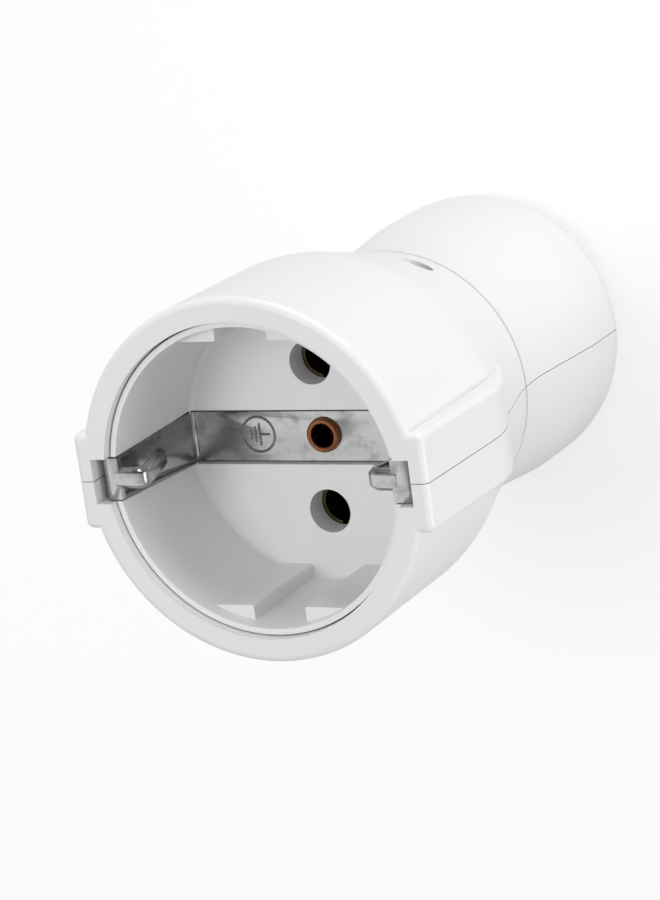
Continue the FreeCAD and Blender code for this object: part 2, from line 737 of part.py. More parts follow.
# Earth strip: one stamping with two tapered arms, turned in at the rim and drawn out into tongues

strip = new_body("earth_strip")
arm_root = well_bottom + size["arm_inset"]
tip_outer = clip_groove - size["arm_play"]
arm_tip = tip_outer - size["strip_thickness"]
root_outer = arm_root + size["strip_thickness"]
bend_outer = size["bend_inner"] + size["strip_thickness"]
flange_outer = size["flange_bend"] + size["strip_thickness"]
flange_end = tip_outer - size["flange_length"]
flange_back = size["arm_end"] + size["strip_thickness"]
bent_side = [
    (flange_end, flange_back),
    (flange_end, size["arm_end"]),
    (tip_outer, size["arm_end"], flange_outer),
    (root_outer, strip_back, bend_outer),
]
inner_side = [
    (arm_root, strip_front, size["bend_inner"]),
    (arm_tip, flange_back, size["flange_bend"]),
]


def mirrored(corners):
    """The same corners on the other side of the axis, in the opposite order."""
    return [(-corner[0],) + corner[1:] for corner in reversed(corners)]


across(strip, "strip_bend", "XY_Plane", size["strip_width"],
       bent_side + mirrored(bent_side) + mirrored(inner_side) + inner_side)
for level_name, level in levels:
    across(strip, level_name + "_arm_taper", "YZ_Plane", OUTSIDE * 2, [
        (size["arm_end"] - OVERSHOOT, arm_half * level),
        (size["arm_end"], arm_half * level),
        (strip_front, strip_half * level),
        (strip_front, (strip_half + OVERSHOOT) * level),
        (size["arm_end"] - OVERSHOOT, (strip_half + OVERSHOOT) * level),
    ], cut=True)
along_axis(strip, "strip_hole", strip_front - OVERSHOOT, size["strip_thickness"] + 2 * OVERSHOOT,
           circle=(0, 0, size["eyelet_radius"] + size["eyelet_play"]), cut=True)
tongue_crest = size["arm_end"] - size["crest_rise"]
tongue_foot = tongue_crest + size["tongue_arch"]
tongue_line = tongue_crest + size["tongue_thickness"]
tongue_half = size["tongue_width"] / 2
crest_half = size["tongue_flat"] / 2
tongue_section = [
    (tongue_foot, -tongue_half),
    (tongue_crest, -crest_half, size["tongue_round"]),
    (tongue_crest, crest_half, size["tongue_round"]),
    (tongue_foot, tongue_half),
    (tongue_foot + size["tongue_thickness"], tongue_half),
    (tongue_line, crest_half, size["tongue_round"]),
    (tongue_line, -crest_half, size["tongue_round"]),
    (tongue_foot + size["tongue_thickness"], -tongue_half),
]
for side_name, side in sides:
    tongue_start = (flange_end + size["tongue_root"]) * side
    section = new_sketch(strip, side_name + "_tongue_section", "YZ_Plane", tongue_start)
    draw(section, tongue_section)
    path = new_sketch(strip, side_name + "_tongue_path", "XY_Plane")
    draw(path, [
        (tongue_start, tongue_line),
        ((size["well_mouth"] - size["nose_rise"]) * side, tongue_line, size["nose_round"]),
        ((size["well_mouth"] - size["tongue_gap"]) * side, size["tongue_end"]),
    ], closed=False)
    feature(strip, "AdditivePipe", side_name + "_tongue", section, True, Spine=(path, []))
finish(strip)

# Eyelet that rivets the strip to the floor, and the earth terminal behind it

eyelet = new_body("earth_eyelet")
rivet_seat = floor_back + size["earth_block_wall"]
rivet_front = strip_front - size["eyelet_flange_height"]
rivet_back = rivet_seat + size["eyelet_flange_height"]
turned(eyelet, "rivet", [
    (size["eyelet_bore"], rivet_front, size["eyelet_lip"]),
    (size["eyelet_flange"], rivet_front, size["eyelet_lip"]),
    (size["eyelet_flange"], strip_front),
    (size["eyelet_radius"], strip_front),
    (size["eyelet_radius"], rivet_seat),
    (size["eyelet_flange"], rivet_seat),
    (size["eyelet_flange"], rivet_back),
    (size["eyelet_bore"], rivet_back),
])
finish(eyelet)

block = new_body("earth_terminal")
along_axis(block, "block", floor_back, size["earth_block_length"],
           rectangle(centre, centre, size["earth_block_width"], size["earth_block_height"]))
along_axis(block, "block_bore", rivet_seat, size["earth_block_length"],
           circle=(0, 0, size["earth_block_bore"]), cut=True)
along_axis(block, "block_hole", floor_back - OVERSHOOT, size["earth_block_wall"] + 2 * OVERSHOOT,
           circle=(0, 0, size["eyelet_radius"] + size["eyelet_play"]), cut=True)
across(block, "block_thread", "YZ_Plane", size["earth_block_width"],
       circle=(earth_screw_station, 0, size["terminal_screw_radius"] + size["thread_play"]), cut=True,
       midplane=False, backwards=True)
finish(block)


def slotted_screw(name, radius, length, head_radius, head_height):
    """A slotted screw along its own Z, with the underside of its head at the origin."""
    screw = new_body(name)
    across(screw, name + "_head", "XY_Plane", head_height, circle=(0, 0, head_radius), midplane=False)
    across(screw, name + "_shank", "XY_Plane", length, circle=(0, 0, radius), midplane=False, backwards=True)
    across(screw, name + "_slot", "XY_Plane", size["screw_slot_depth"],
           rectangle(centre, centre, head_radius * 2 + 2 * OVERSHOOT, size["screw_slot_width"]), cut=True,
           offset=head_height, midplane=False)
    return screw


earth_screw = slotted_screw("earth_terminal_screw", size["terminal_screw_radius"],
                            size["earth_block_width"] / 2 - size["terminal_screw_reach"],
                            size["terminal_head_radius"], size["terminal_head_height"])
finish(earth_screw, size["earth_block_width"] / 2, earth_screw_station, 0.0,
       FreeCAD.Rotation(FreeCAD.Vector(0, 1, 0), 90))

# Contact sleeves with their ring springs and terminal screws

sleeve_front = floor_back + size["sleeve_gap"]
bore_end = sleeve_front + size["bore_length"]
sleeve_back = bore_end + size["wire_end_length"]
terminal_middle = bore_end + size["wire_end_length"] / 2
spring_front = sleeve_front + size["spring_place"]
spring_inner = size["sleeve_radius"] + size["spring_play"]
for level_name, level in levels:
    turn = FreeCAD.Rotation(FreeCAD.Vector(0, 1, 0), 0 if level > 0 else 180)
    sleeve = new_body(level_name + "_contact_sleeve")
    turned(sleeve, level_name + "_sleeve", [
        (size["sleeve_bore"], sleeve_front),
        (size["sleeve_radius"], sleeve_front),
        (size["sleeve_radius"], tower_end - size["collar_length"]),
        (size["collar_radius"], tower_end - size["collar_length"]),
        (size["collar_radius"], tower_end),
        (size["sleeve_radius"], tower_end),
        (size["sleeve_radius"], bore_end),
        (size["wire_end_radius"], bore_end),
        (size["wire_end_radius"], sleeve_back),
        (size["wire_bore"], sleeve_back),
        (size["wire_bore"], bore_end),
        (size["sleeve_bore"], bore_end),
    ])
    slot_middle = sleeve_front + size["slot_length"] / 2 - OVERSHOOT / 2
    across(sleeve, level_name + "_slots", "XY_Plane", size["sleeve_radius"] * 2 + 2 * OVERSHOOT,
           rectangle(centre, slot_middle, size["slot_width"], size["slot_length"] + OVERSHOOT), cut=True)
    across(sleeve, level_name + "_thread", "XY_Plane", size["sleeve_radius"] * 2,
           circle=(0, terminal_middle, size["terminal_screw_radius"] + size["thread_play"]), cut=True,
           midplane=False, backwards=True)
    finish(sleeve, 0.0, 0.0, half_pitch * level, turn)

    spring = new_body(level_name + "_sleeve_spring")
    turned(spring, level_name + "_ring", [
        (spring_inner, spring_front),
        (spring_inner + size["spring_thickness"], spring_front),
        (spring_inner + size["spring_thickness"], spring_front + size["spring_length"]),
        (spring_inner, spring_front + size["spring_length"]),
    ], size["spring_angle"])
    finish(spring, 0.0, 0.0, half_pitch * level, turn)

    seat = size["wire_end_radius"]
    screw = slotted_screw(level_name + "_terminal_screw", size["terminal_screw_radius"],
                          seat - size["terminal_screw_reach"], size["terminal_head_radius"],
                          size["terminal_head_height"])
    finish(screw, 0.0, terminal_middle, (half_pitch + seat) * level, turn)

# Screws and captive nuts that hold the shells together

screw_length = size["shell_head_seat"] + size["nut_seat"] + size["nut_height"] + OVERLAP
for side_name, side in sides:
    x = size["shell_screw_offset"] * side
    screw = slotted_screw(side_name + "_shell_screw", size["shell_screw_radius"], screw_length,
                          size["shell_head_radius"], size["shell_head_height"])
    finish(screw, x, screw_station, size["shell_head_seat"])

    nut = new_body(side_name + "_shell_nut")
    hexagon = [
        (size["nut_radius"] * math.cos(math.radians(angle)), size["nut_radius"] * math.sin(math.radians(angle)))
        for angle in range(0, 360, 360 // NUT_SIDES)
    ]
    across(nut, side_name + "_nut_form", "XY_Plane", size["nut_height"], hexagon, midplane=False)
    across(nut, side_name + "_nut_thread", "XY_Plane", size["nut_height"] * 2 + 2 * OVERSHOOT,
           circle=(0, 0, size["shell_screw_radius"] + size["thread_play"]), cut=True)
    finish(nut, x, screw_station, -size["nut_seat"] - size["nut_height"])

# Cable clamp: an arched bar held down on the saddle by two screws

bar = new_body("cable_clamp_bar")
bar_low = -size["saddle_top"] + size["bar_gap"]
bar_high = bar_low + size["bar_thickness"]
bar_arch = clamp_screw_offset - size["arch_margin"]
flank = bar_arch + size["bar_flank"]
crown = bar_arch + size["bar_crown"]
along_axis(bar, "bar_form", clamp_station - size["bar_length"] / 2, size["bar_length"], [
    (-size["bar_width"] / 2, bar_low),
    (-flank, bar_low, size["bar_round"]),
    (-bar_arch, bar_low + size["bar_rise"], size["bar_round"]),
    (bar_arch, bar_low + size["bar_rise"], size["bar_round"]),
    (flank, bar_low, size["bar_round"]),
    (size["bar_width"] / 2, bar_low),
    (size["bar_width"] / 2, bar_high, size["bar_round"]),
    (flank + size["bar_flank"], bar_high, size["bar_round"]),
    (crown, bar_high + size["bar_rise"], size["bar_round"]),
    (-crown, bar_high + size["bar_rise"], size["bar_round"]),
    (-flank - size["bar_flank"], bar_high, size["bar_round"]),
    (-size["bar_width"] / 2, bar_high, size["bar_round"]),
])
for side_name, side in sides:
    across(bar, side_name + "_bar_hole", "XY_Plane", OUTSIDE,
           circle=(clamp_screw_offset * side, clamp_station, size["clamp_screw_radius"] + size["head_play"]),
           cut=True)
finish(bar)
for side_name, side in sides:
    screw = slotted_screw(side_name + "_clamp_screw", size["clamp_screw_radius"],
                          size["bar_thickness"] + size["bar_gap"] + size["clamp_screw_depth"],
                          size["clamp_head_radius"], size["clamp_head_height"])
    finish(screw, clamp_screw_offset * side, clamp_station, bar_high)

# Check every object, then write each sub-part

doc.recompute()
for thing in doc.Objects:
    if "Invalid" in thing.State or "Error" in thing.State:
        raise ValueError(thing.Name + " is " + " ".join(thing.State))
os.makedirs("parts", exist_ok=True)
for part in parts:
    shape = part.Shape
    if shape.isNull() or not shape.isValid() or len(shape.Solids) != 1:
        raise ValueError(part.Label + " is not one valid solid")
for part in parts:
    part.Shape.exportStep("parts/" + part.Label + ".step")
    print(part.Label, round(part.Shape.Volume, 1), len(part.Shape.Faces))
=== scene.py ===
"""Looks of an inline socket connector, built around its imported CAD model.

The connector stands on its cable end with its mouth up, and its pieces are given as it stands.
Lamps and camera are given as the photograph shows it, lying: X to the right, Y along the axis from
the front rim, Z up from the axis. LYING_TO_STANDING sets them upright. Names that end in _mm hold
millimetres, which MM turns into Blender's metres, and names that end in _deg hold degrees.
"""

import json
import logging
import math
from dataclasses import dataclass
from enum import Enum
from typing import Any

import bmesh
import bpy
from mathutils import Matrix, Vector


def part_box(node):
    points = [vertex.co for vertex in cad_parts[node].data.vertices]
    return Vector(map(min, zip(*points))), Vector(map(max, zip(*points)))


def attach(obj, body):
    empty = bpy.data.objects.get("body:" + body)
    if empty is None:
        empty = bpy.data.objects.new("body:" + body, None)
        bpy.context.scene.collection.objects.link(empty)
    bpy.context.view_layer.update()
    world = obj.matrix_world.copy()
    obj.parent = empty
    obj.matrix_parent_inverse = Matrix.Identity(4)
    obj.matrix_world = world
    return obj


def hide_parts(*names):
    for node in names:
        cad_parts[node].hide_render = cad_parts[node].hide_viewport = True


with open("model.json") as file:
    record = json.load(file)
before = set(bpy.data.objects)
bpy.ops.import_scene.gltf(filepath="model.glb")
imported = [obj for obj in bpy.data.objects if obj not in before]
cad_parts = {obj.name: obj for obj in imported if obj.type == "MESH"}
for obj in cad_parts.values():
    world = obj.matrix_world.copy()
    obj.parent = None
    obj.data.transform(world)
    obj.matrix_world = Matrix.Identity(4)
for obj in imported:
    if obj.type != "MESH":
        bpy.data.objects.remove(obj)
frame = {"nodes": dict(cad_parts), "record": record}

MM = 0.001  # one millimetre in metres
LOG = logging.getLogger("inline_socket")
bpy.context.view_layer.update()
LENGTH_MM = 74.0  # front rim to cable end
LYING_TO_STANDING = (
    Matrix.Translation((0, 0, LENGTH_MM * MM)) @ Matrix.Rotation(math.radians(-90), 4, "X")
)

Links = dict[Any, Any]
Triple = tuple[float, float, float]


def linear(code: str) -> tuple[float, float, float, float]:
    """Turn an sRGB hex colour into a linear one.

    Args:
        code: six hex digits, such as "EEEFF0".

    Returns:
        Red, green, blue and an alpha of one.
    """
    channels = [int(code[i:i + 2], 16) / 255 for i in (0, 2, 4)]
    values = [c / 12.92 if c <= 0.04045 else ((c + 0.055) / 1.055) ** 2.4 for c in channels]
    return values[0], values[1], values[2], 1.0


def add_node(tree: bpy.types.NodeTree, kind: str, links: Links | None = None, **settings: Any) -> Any:
    """Add a node with its settings and inputs.

    Args:
        tree: the node tree that takes the node.
        kind: the node's type name.
        links: input name or number to a value or to another node's output socket.
        settings: the node's own properties.

    Returns:
        The new node.
    """
    node = tree.nodes.new(kind)
    for name, value in settings.items():
        setattr(node, name, value)
    for name, value in (links or {}).items():
        if isinstance(value, bpy.types.NodeSocket):
            tree.links.new(value, node.inputs[name])
        else:
            node.inputs[name].default_value = value
    return node


def new_material(name: str) -> tuple[bpy.types.Material, bpy.types.NodeTree]:
    """Make an empty node material.

    Args:
        name: the material's name.

    Returns:
        The material and its node tree.
    """
    material = bpy.data.materials.new(name)
    material.use_nodes = True
    material.node_tree.nodes.clear()
    return material, material.node_tree


def add_object(name: str, data: bpy.types.ID) -> bpy.types.Object:
    """Put a mesh, light or camera into the scene as an object at the origin.

    Args:
        name: the object's name.
        data: its mesh, light or camera.

    Returns:
        The new object.
    """
    thing = bpy.data.objects.new(name, data)
    bpy.context.scene.collection.objects.link(thing)
    return thing


def smooth(mesh: bpy.types.Mesh, sharp_from_deg: float) -> None:
    """Shade a mesh smoothly, apart from its sharp edges.

    Args:
        mesh: the mesh to shade.
        sharp_from_deg: edges that turn by more than this stay sharp.
    """
    mesh.shade_smooth()
    mesh.set_sharp_from_angle(angle=math.radians(sharp_from_deg))


def seat(piece: bpy.types.Object, slot: str, *nodes: str) -> None:
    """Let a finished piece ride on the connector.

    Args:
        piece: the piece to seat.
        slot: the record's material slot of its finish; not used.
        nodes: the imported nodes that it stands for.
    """
    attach(piece, "root")
    if nodes:
        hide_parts(*nodes)
    LOG.info("%s: %d faces for %s", piece.name, len(piece.data.polygons), ", ".join(nodes) or "no node")


class Recipe:
    """A Geometry Nodes tree with named inputs that is turned into plain meshes."""

    def __init__(self, name: str, sizes: dict[str, float]) -> None:
        """Start the tree.

        Args:
            name: the tree's name.
            sizes: its named sizes in metres, with their defaults.
        """
        self.tree = bpy.data.node_groups.new(name, "GeometryNodeTree")
        interface = self.tree.interface
        interface.new_socket("Geometry", in_out="INPUT", socket_type="NodeSocketGeometry")
        interface.new_socket("Geometry", in_out="OUTPUT", socket_type="NodeSocketGeometry")
        self.keys = {}
        for label, value in sizes.items():
            item = interface.new_socket(label, in_out="INPUT", socket_type="NodeSocketFloat")
            item.default_value = value
            self.keys[label] = item.identifier
        item = interface.new_socket("Material", in_out="INPUT", socket_type="NodeSocketMaterial")
        self.keys["Material"] = item.identifier
        self.inputs = self.tree.nodes.new("NodeGroupInput").outputs

    def out(self, kind: str, links: Links | None = None, output: int | str = 0, **settings: Any) -> Any:
        """Add a node and give one of its outputs.

        Args:
            kind: the node's type name.
            links: input name or number to a value or to another node's output socket.
            output: the output's name or number.
            settings: the node's own properties.

        Returns:
            The output socket.
        """
        return add_node(self.tree, kind, links, **settings).outputs[output]

    def finish(self, geometries: list[Any]) -> None:
        """Close the tree: join, realize, give the material.

        Args:
            geometries: the output sockets that make up the shape.
        """
        join = add_node(self.tree, "GeometryNodeJoinGeometry")
        for geometry in reversed(geometries):
            self.tree.links.new(geometry, join.inputs[0])
        real = self.out("GeometryNodeRealizeInstances", {0: join.outputs[0]})
        dressed = self.out("GeometryNodeSetMaterial", {
            "Geometry": real, "Material": self.inputs["Material"],
        })
        add_node(self.tree, "NodeGroupOutput", {0: dressed})

    def make(
        self, name: str, material: bpy.types.Material, place: Matrix, sizes: dict[str, float],
    ) -> bpy.types.Object:
        """Make one plain mesh object from the tree.

        Args:
            name: the object's name.
            material: its finish.
            place: where the shape goes in the connector.
            sizes: the named sizes that differ from the defaults.

        Returns:
            The object, with its place in its mesh.
        """
        piece = add_object(name, bpy.data.meshes.new(name + "_start"))
        modifier = piece.modifiers.new("recipe", "NODES")
        modifier.node_group = self.tree
        for label, value in sizes.items():
            modifier[self.keys[label]] = value
        modifier[self.keys["Material"]] = material
        graph = bpy.context.evaluated_depsgraph_get()
        mesh = bpy.data.meshes.new_from_object(piece.evaluated_get(graph), depsgraph=graph)
        piece.modifiers.remove(modifier)
        piece.data = mesh
        mesh.name = name
        mesh.transform(place)
        smooth(mesh, sharp_from_deg=32)
        return piece


@dataclass(frozen=True)
class MouldedPlastic:
    """A white plastic as it leaves a satin moulding tool.

    Attributes:
        name: the material's name.
        colour: its sRGB colour.
        shade: its sRGB colour where the melt flowed in last.
        roughness: its roughness, between its smoothest and its roughest parts.
        smoother: how much less rough the smoothest parts are.
        rougher: how much rougher the roughest parts are.
        flow_mm: distance from one shade of the flow to the next.
        peel_mm: distance from one crest of the skin's orange peel to the next.
        peel_depth_mm: depth of the orange peel.
        peel_strength: how much of that depth shows.
    """

    name: str
    colour: str
    shade: str
    roughness: float = 0.34
    smoother: float = 0.04
    rougher: float = 0.05
    flow_mm: float = 16.0
    peel_mm: float = 0.9  # about 0.3 mm on a real skin, too fine to show, so it's drawn coarser
    peel_depth_mm: float = 0.02
    peel_strength: float = 0.04

    def build(self) -> bpy.types.Material:
        """Build the node material.

        Returns:
            The finished material.
        """
        material, tree = new_material(self.name)
        place = add_node(tree, "ShaderNodeTexCoord").outputs["Object"]
        flow = add_node(tree, "ShaderNodeTexNoise", {
            "Vector": place, "Scale": 1 / (self.flow_mm * MM), "Detail": 3.0, "Roughness": 0.5,
        })
        colour = add_node(tree, "ShaderNodeMix", {
            "Factor": flow.outputs["Fac"], "A": linear(self.colour), "B": linear(self.shade),
        }, data_type="RGBA")
        rough = add_node(tree, "ShaderNodeMapRange", {
            "Value": flow.outputs["Fac"],
            "To Min": self.roughness - self.smoother, "To Max": self.roughness + self.rougher,
        })
        peel = add_node(tree, "ShaderNodeTexNoise", {
            "Vector": place, "Scale": 1 / (self.peel_mm * MM), "Detail": 2.0,
        })
        bump = add_node(tree, "ShaderNodeBump", {
            "Height": peel.outputs["Fac"],
            "Strength": self.peel_strength, "Distance": self.peel_depth_mm * MM,
        })
        shader = add_node(tree, "ShaderNodeBsdfPrincipled", {
            "Base Color": colour.outputs["Result"], "Roughness": rough.outputs["Result"], "IOR": 1.53,
            "Normal": bump.outputs["Normal"],
        })
        add_node(tree, "ShaderNodeOutputMaterial", {"Surface": shader.outputs["BSDF"]})
        return material


@dataclass(frozen=True)
class WorkedMetal:
    """A rolled, drawn or turned metal, with fine streaks in its gloss and a little tarnish.

    Attributes:
        name: the material's name.
        colour: its sRGB colour.
        tarnish: its sRGB colour under the thickest tarnish.
        roughness: its roughness, between its smoothest and its roughest parts.
        streak_mm: distance from one streak to the next along X, Y and Z.
        depth_mm: depth of streaks and scratches.
        scratches: height of a plug's scratches beside the streaks, or zero for none.
        painted_shade_from_mm: distance from the middle, towards the cover, from which a painted shade
        darkens the metal, or zero for none.
        smoother: how much less rough the smoothest parts are.
        rougher: how much rougher the roughest parts are.
        highest: height at which streaks and scratches together are roughest.
        depth_strength: how much of their depth shows.
        cloud_mm: distance from one cloud of tarnish to the next.
        cloud_range: values of the noise between which the tarnish thickens.
        tarnish_share: how much of its colour the thickest tarnish gives.
        scratch_mm: distance from one scratch to the next, along them, across them and in depth.
        scratch_range: values of the noise between which a scratch deepens.
        scratch_deg: slant of the scratches across the strip's face.
        painted_shade_colour: sRGB colour of the painted shade.
        painted_shade_edge_mm: where the painted shade begins and where it is darkest, from
            painted_shade_from_mm.
        painted_shade_share: how much of its colour the darkest painted shade gives.
    """

    name: str
    colour: str
    tarnish: str
    roughness: float
    streak_mm: Triple  # a few hundredths of a mm on real metal, too fine to show, so drawn coarser
    depth_mm: float = 0.004
    scratches: float = 0.0
    painted_shade_from_mm: float = 0.0
    smoother: float = 0.1
    rougher: float = 0.12
    highest: float = 1.4
    depth_strength: float = 0.5
    cloud_mm: float = 2.2
    cloud_range: tuple[float, float] = (0.52, 0.72)
    tarnish_share: float = 0.6
    scratch_mm: Triple = (3.0, 0.12, 3.0)  # real ones are about half as wide, so drawn coarser too
    scratch_range: tuple[float, float] = (0.62, 0.72)
    scratch_deg: float = -32.0
    painted_shade_colour: str = "2A2A2E"
    painted_shade_edge_mm: tuple[float, float] = (-0.05, 0.1)
    painted_shade_share: float = 0.95

    def build(self) -> bpy.types.Material:
        """Build the node material.

        Returns:
            The finished material.
        """
        material, tree = new_material(self.name)
        place = add_node(tree, "ShaderNodeTexCoord").outputs["Object"]
        relief = self.relief(tree, place)
        rough = add_node(tree, "ShaderNodeMapRange", {
            "Value": relief, "From Max": self.highest,
            "To Min": self.roughness - self.smoother, "To Max": self.roughness + self.rougher,
        })
        bump = add_node(tree, "ShaderNodeBump", {
            "Height": relief, "Strength": self.depth_strength, "Distance": self.depth_mm * MM,
        })
        shader = add_node(tree, "ShaderNodeBsdfPrincipled", {
            "Base Color": self.tint(tree, place), "Roughness": rough.outputs["Result"],
            "Metallic": 1.0, "Normal": bump.outputs["Normal"],
        })
        add_node(tree, "ShaderNodeOutputMaterial", {"Surface": shader.outputs["BSDF"]})
        return material

    def relief(self, tree: bpy.types.NodeTree, place: Any) -> Any:
        """Draw the streaks, and the short slanting scratches of plugs that were pushed in.

        Args:
            tree: the material's node tree.
            place: the output that carries the place on the object.

        Returns:
            The output of their height.
        """
        drawn = add_node(tree, "ShaderNodeMapping", {
            "Vector": place, "Scale": tuple(1 / (step * MM) for step in self.streak_mm),
        })
        streaks = add_node(tree, "ShaderNodeTexNoise", {
            "Vector": drawn.outputs["Vector"], "Scale": 1.0, "Detail": 4.0,
        }).outputs["Fac"]
        if not self.scratches:
            return streaks
        slanted = add_node(tree, "ShaderNodeMapping", {
            "Vector": place, "Rotation": (0, 0, math.radians(self.scratch_deg)),
            "Scale": tuple(1 / (step * MM) for step in self.scratch_mm),
        })
        lines = add_node(tree, "ShaderNodeTexNoise", {
            "Vector": slanted.outputs["Vector"], "Scale": 1.0, "Detail": 1.0,
        })
        shallow, deep = self.scratch_range
        cuts = add_node(tree, "ShaderNodeMapRange", {
            "Value": lines.outputs["Fac"], "From Min": shallow, "From Max": deep,
            "To Max": self.scratches,
        })
        both = add_node(tree, "ShaderNodeMath", {0: streaks, 1: cuts.outputs["Result"]}, operation="ADD")
        return both.outputs[0]

    def tint(self, tree: bpy.types.NodeTree, place: Any) -> Any:
        """Colour the metal with clouds of tarnish, and with painted shade along its side towards the
        cover.

        Args:
            tree: the material's node tree.
            place: the output that carries the place on the object.

        Returns:
            The output of the colour.
        """
        cloud = add_node(tree, "ShaderNodeTexNoise", {
            "Vector": place, "Scale": 1 / (self.cloud_mm * MM), "Detail": 3.0,
        })
        thin, thick = self.cloud_range
        spots = add_node(tree, "ShaderNodeMapRange", {
            "Value": cloud.outputs["Fac"], "From Min": thin, "From Max": thick,
            "To Max": self.tarnish_share,
        })
        colour = add_node(tree, "ShaderNodeMix", {
            "Factor": spots.outputs["Result"], "A": linear(self.colour), "B": linear(self.tarnish),
        }, data_type="RGBA").outputs["Result"]
        if not self.painted_shade_from_mm:
            return colour
        # Painted shade: a dark band along the side towards the cover, standing in for the shadow of the
        # channel's ledge.
        begin, full = (self.painted_shade_from_mm * MM + shift * MM for shift in self.painted_shade_edge_mm)
        shade_mask = add_node(tree, "ShaderNodeMapRange", {
            "Value": add_node(tree, "ShaderNodeSeparateXYZ", {0: place}).outputs["Y"],
            "From Min": begin, "From Max": full, "To Max": self.painted_shade_share,
        })
        return add_node(tree, "ShaderNodeMix", {
            "Factor": shade_mask.outputs["Result"], "A": colour, "B": linear(self.painted_shade_colour),
        }, data_type="RGBA").outputs["Result"]


@dataclass(frozen=True)
class MattPaper:
    """White paper under the connector, which the camera sees as even as a lit backdrop.

    Attributes:
        name: the material's name.
        colour: its sRGB colour for the light that it throws back onto the connector.
        seen: its sRGB colour for the camera.
        lift: the even light that the camera sees on top of that.
    """

    name: str
    colour: str
    seen: str
    lift: float

    def build(self) -> bpy.types.Material:
        """Build the node material.

        Returns:
            The finished material.
        """
        material, tree = new_material(self.name)
        camera = add_node(tree, "ShaderNodeLightPath").outputs["Is Camera Ray"]
        white = add_node(tree, "ShaderNodeMix", {
            "Factor": camera, "A": linear(self.colour), "B": linear(self.seen),
        }, data_type="RGBA")
        paper = add_node(tree, "ShaderNodeBsdfDiffuse", {"Color": white.outputs["Result"]})
        lift = add_node(tree, "ShaderNodeMath", {0: camera, 1: self.lift}, operation="MULTIPLY")
        glow = add_node(tree, "ShaderNodeEmission", {
            "Color": linear("FFFFFF"), "Strength": lift.outputs[0],
        })
        both = add_node(tree, "ShaderNodeAddShader", {
            0: paper.outputs["BSDF"], 1: glow.outputs["Emission"],
        })
        add_node(tree, "ShaderNodeOutputMaterial", {"Surface": both.outputs["Shader"]})
        return material


FINISHES = {
    # White ABS, injection moulded in a polished tool: an even cool white with a soft gloss on its
    # roundings, and a skin that is never quite flat.
    "white_plastic": MouldedPlastic("white_abs_moulded", "F0F1F3", "ECEDEE"),
    # The same kind of moulding in a stiffer white plastic: a slightly warmer white.
    "insert_plastic": MouldedPlastic("white_insert_moulded", "F1F2F2", "EAEBEC"),
    # Nickel-plated steel, rolled: mirrors the dark room and the window in long smears, with clouds
    # of tarnish, the slanting scratches of plugs and a painted shade line along the cover's side.
    "strip_steel": WorkedMetal(
        "nickel_plated_strip", "BCBCBC", "7B7C80", 0.2, (2.5, 0.12, 0.12),
        depth_mm=0.007, scratches=0.7, painted_shade_from_mm=3.0,
    ),
    # Copper rivet, drawn and left bare: warm brown with dark stains.
    "eyelet_brass": WorkedMetal("tarnished_copper_eyelet", "8A583B", "341F16", 0.3, (0.3, 0.3, 0.3)),
    # Brass, turned on a lathe: dull yellow with fine rings across the axis.
    "contact_brass": WorkedMetal("turned_brass", "9C8C62", "6E6145", 0.3, (2.0, 2.0, 0.1)),
    # Spring steel, rolled and blued: dark grey with streaks along the strip.
    "spring_steel": WorkedMetal("blued_spring_steel", "84868A", "56585C", 0.3, (1.5, 0.1, 0.1)),
    # Steel, machined and zinc plated: light grey with a slightly cloudy gloss.
    "screw_steel": WorkedMetal("zinc_plated_screw", "B9BABC", "8D8E90", 0.32, (0.4, 0.4, 0.4)),
}
# The strip's sheared sides, bare steel that has gone dark, and painted shade on the roundings
# towards the cover: a thin black line along the bright arms.
SHEARED_EDGE_AND_SHADE = WorkedMetal("sheared_edge_and_painted_shade", "3C3B3E", "262527", 0.42, (0.2, 0.2, 0.8))
# The raised mark, its nickel worn through by handling: a little darker than the strip.
MARK_RELIEF = WorkedMetal("worn_nickel_relief", "8C8D8F", "5E5F62", 0.3, (0.5, 0.5, 0.5))
# White paper, calendered and matt: an even bright ground with only a faint shadow on it.
PAPER = MattPaper("white_paper", "FAFAFA", "BCBCBC", lift=0.62)


class Facing(Enum):
    """The way a screw's head looks, in the standing connector."""

    COVER = (0.0, 1.0, 0.0)
    BASE = (0.0, -1.0, 0.0)
    RIGHT = (1.0, 0.0, 0.0)


@dataclass(frozen=True)
class ScrewSize:
    """One size of screw, in millimetres."""

    shank_radius: float
    head_height: float


